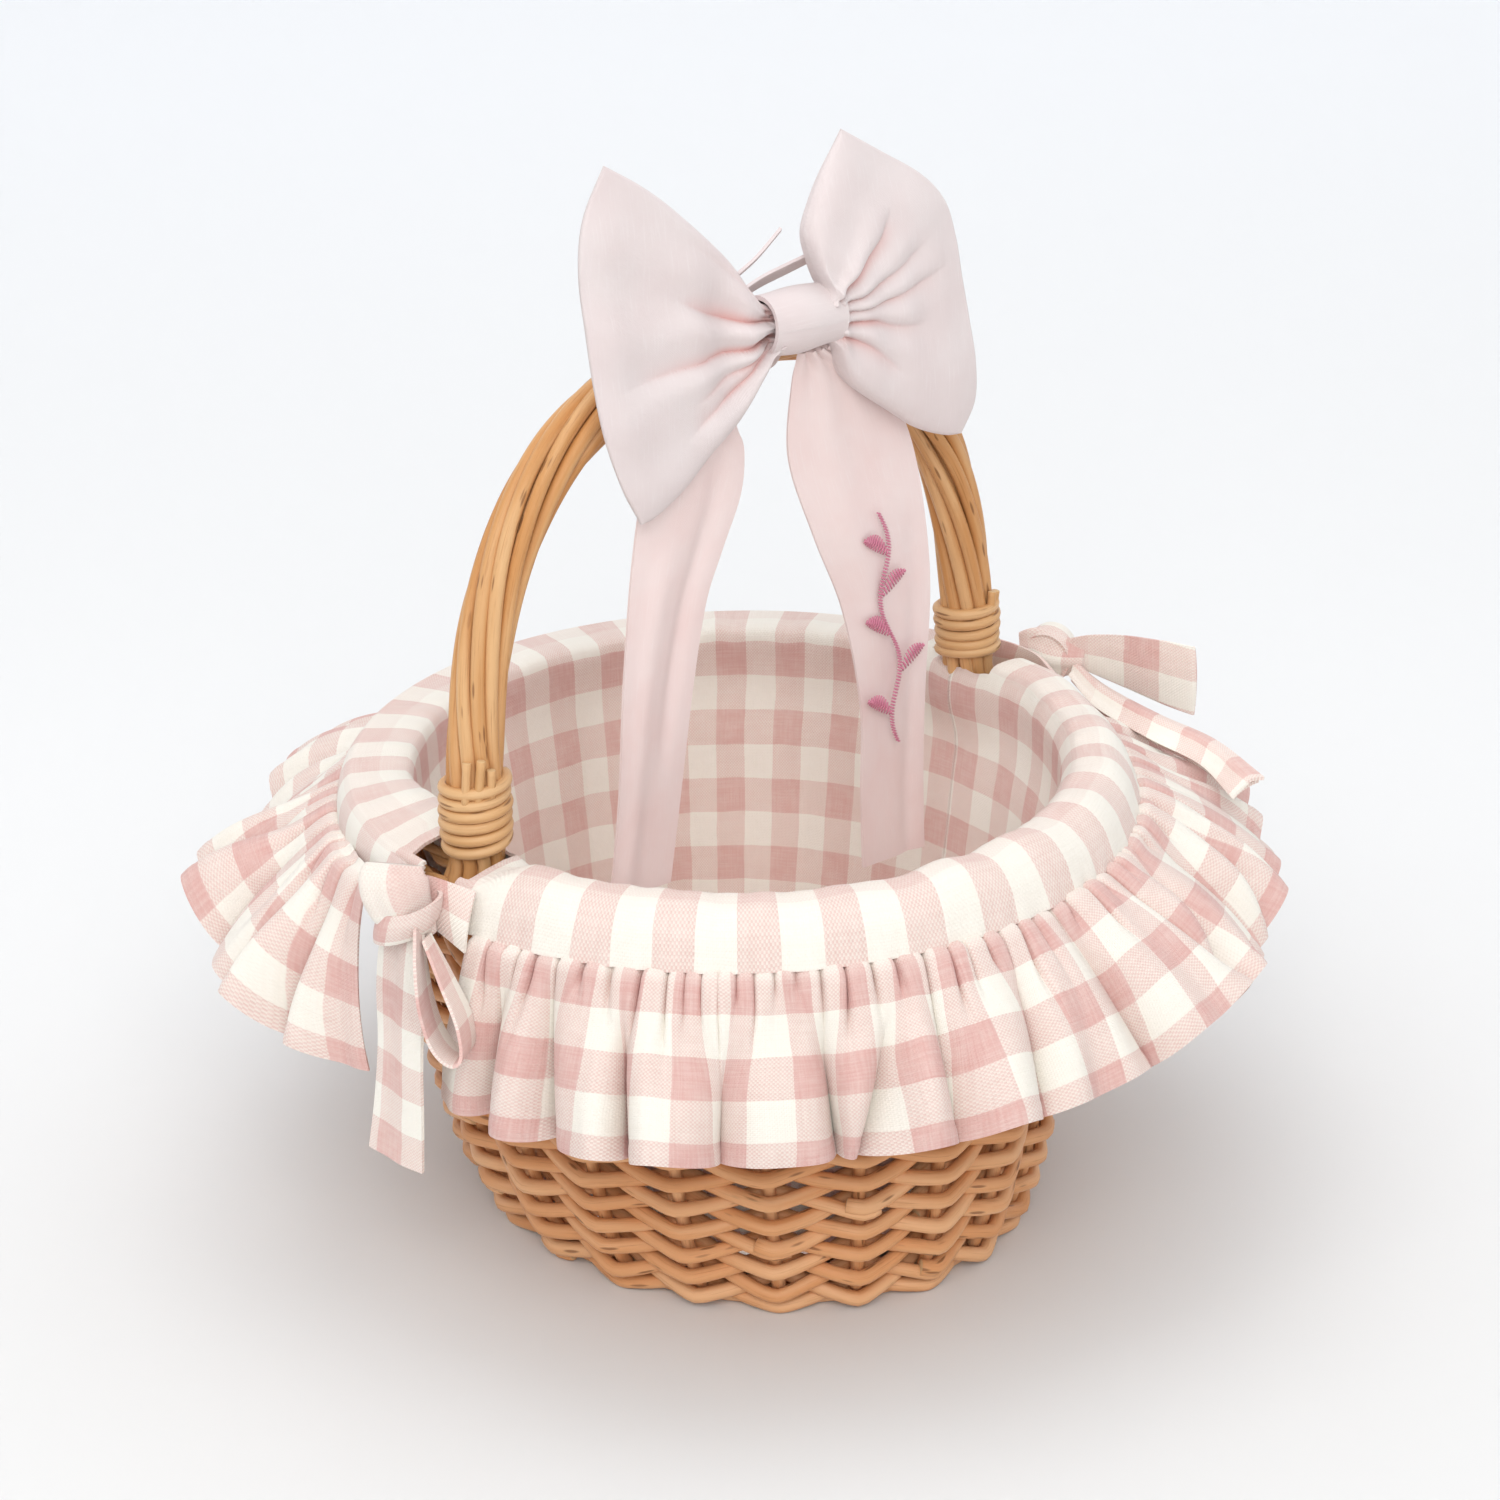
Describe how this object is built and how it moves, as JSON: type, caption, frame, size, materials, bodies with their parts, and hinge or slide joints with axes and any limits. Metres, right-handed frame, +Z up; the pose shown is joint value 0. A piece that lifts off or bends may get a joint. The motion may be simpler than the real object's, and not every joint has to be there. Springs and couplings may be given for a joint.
{
  "type": "easter basket",
  "caption": "Round willow basket with an arched roped handle, a gathered gingham liner tied at the handle feet, and a ribbon bow with two long tails.",
  "frame": {"origin": "centre of the base on the surface that the basket stands on", "axes": "+Z up, +X along the handle from its left foot to its right foot, -Y towards the side with the bow's knot"},
  "size_m": [0.3661, 0.3917, 0.392],
  "materials": {
    "willow": "buff willow rods, semi-matt",
    "willow_core": "buff willow, slightly darker",
    "gingham_cloth": "dusty pink and ivory gingham, plain weave",
    "ribbon_cotton": "very pale pink plain cotton",
    "embroidery_thread": "pink rayon thread, slight sheen"
  },
  "bodies": {
    "basket": {"base_weave": "willow", "side_stakes": "willow", "lower_weave": "willow", "middle_weave": "willow", "upper_weave": "willow", "handle_rods": "willow", "left_cane_ends": "willow", "right_cane_ends": "willow", "base_slath": "willow_core", "base_spokes": "willow_core", "foot_ring": "willow_core", "inner_border": "willow_core", "outer_border": "willow_core", "handle_core": "willow_core", "left_binding": "willow_core", "right_binding": "willow_core", "liner_base": "gingham_cloth", "liner_bag": "gingham_cloth", "front_rim_band": "gingham_cloth", "rear_rim_band": "gingham_cloth", "front_ruffle": "gingham_cloth", "rear_ruffle": "gingham_cloth", "left_tie_strap": "gingham_cloth", "left_tie_knot": "gingham_cloth", "left_tie_loop": "gingham_cloth", "right_tie_strap": "gingham_cloth", "right_tie_knot": "gingham_cloth", "right_tie_tail": "gingham_cloth", "right_tie_loop": "gingham_cloth"},
    "bow": {"bow_strap": "ribbon_cotton", "bow_knot": "ribbon_cotton", "bow_left_wing": "ribbon_cotton", "bow_right_wing": "ribbon_cotton"},
    "left_tail": {"bow_left_tail": "ribbon_cotton"},
    "right_tail": {"bow_right_tail": "ribbon_cotton", "embroidered_sprig": "embroidery_thread"},
    "tie_tail": {"left_tie_tail": "gingham_cloth"}
  },
  "joints": [
    {"name": "bow_turn", "type": "hinge", "parent": "basket", "child": "bow", "pos_m": [0.011, 0, 0.316], "axis": [1, 0, 0], "range_deg": [-6, 3]},
    {"name": "left_tail_swing", "type": "hinge", "parent": "bow", "child": "left_tail", "pos_m": [0.001, -0.024, 0.317], "axis": [1, 0, 0], "range_deg": [-8, 12]},
    {"name": "right_tail_swing", "type": "hinge", "parent": "bow", "child": "right_tail", "pos_m": [0.019, -0.024, 0.317], "axis": [1, 0, 0], "range_deg": [-6, 12]},
    {"name": "left_tie_swing", "type": "hinge", "parent": "basket", "child": "tie_tail", "pos_m": [-0.1555, -0.011, 0.152], "axis": [0, 1, 0], "range_deg": [-4, 45]}
  ]
}
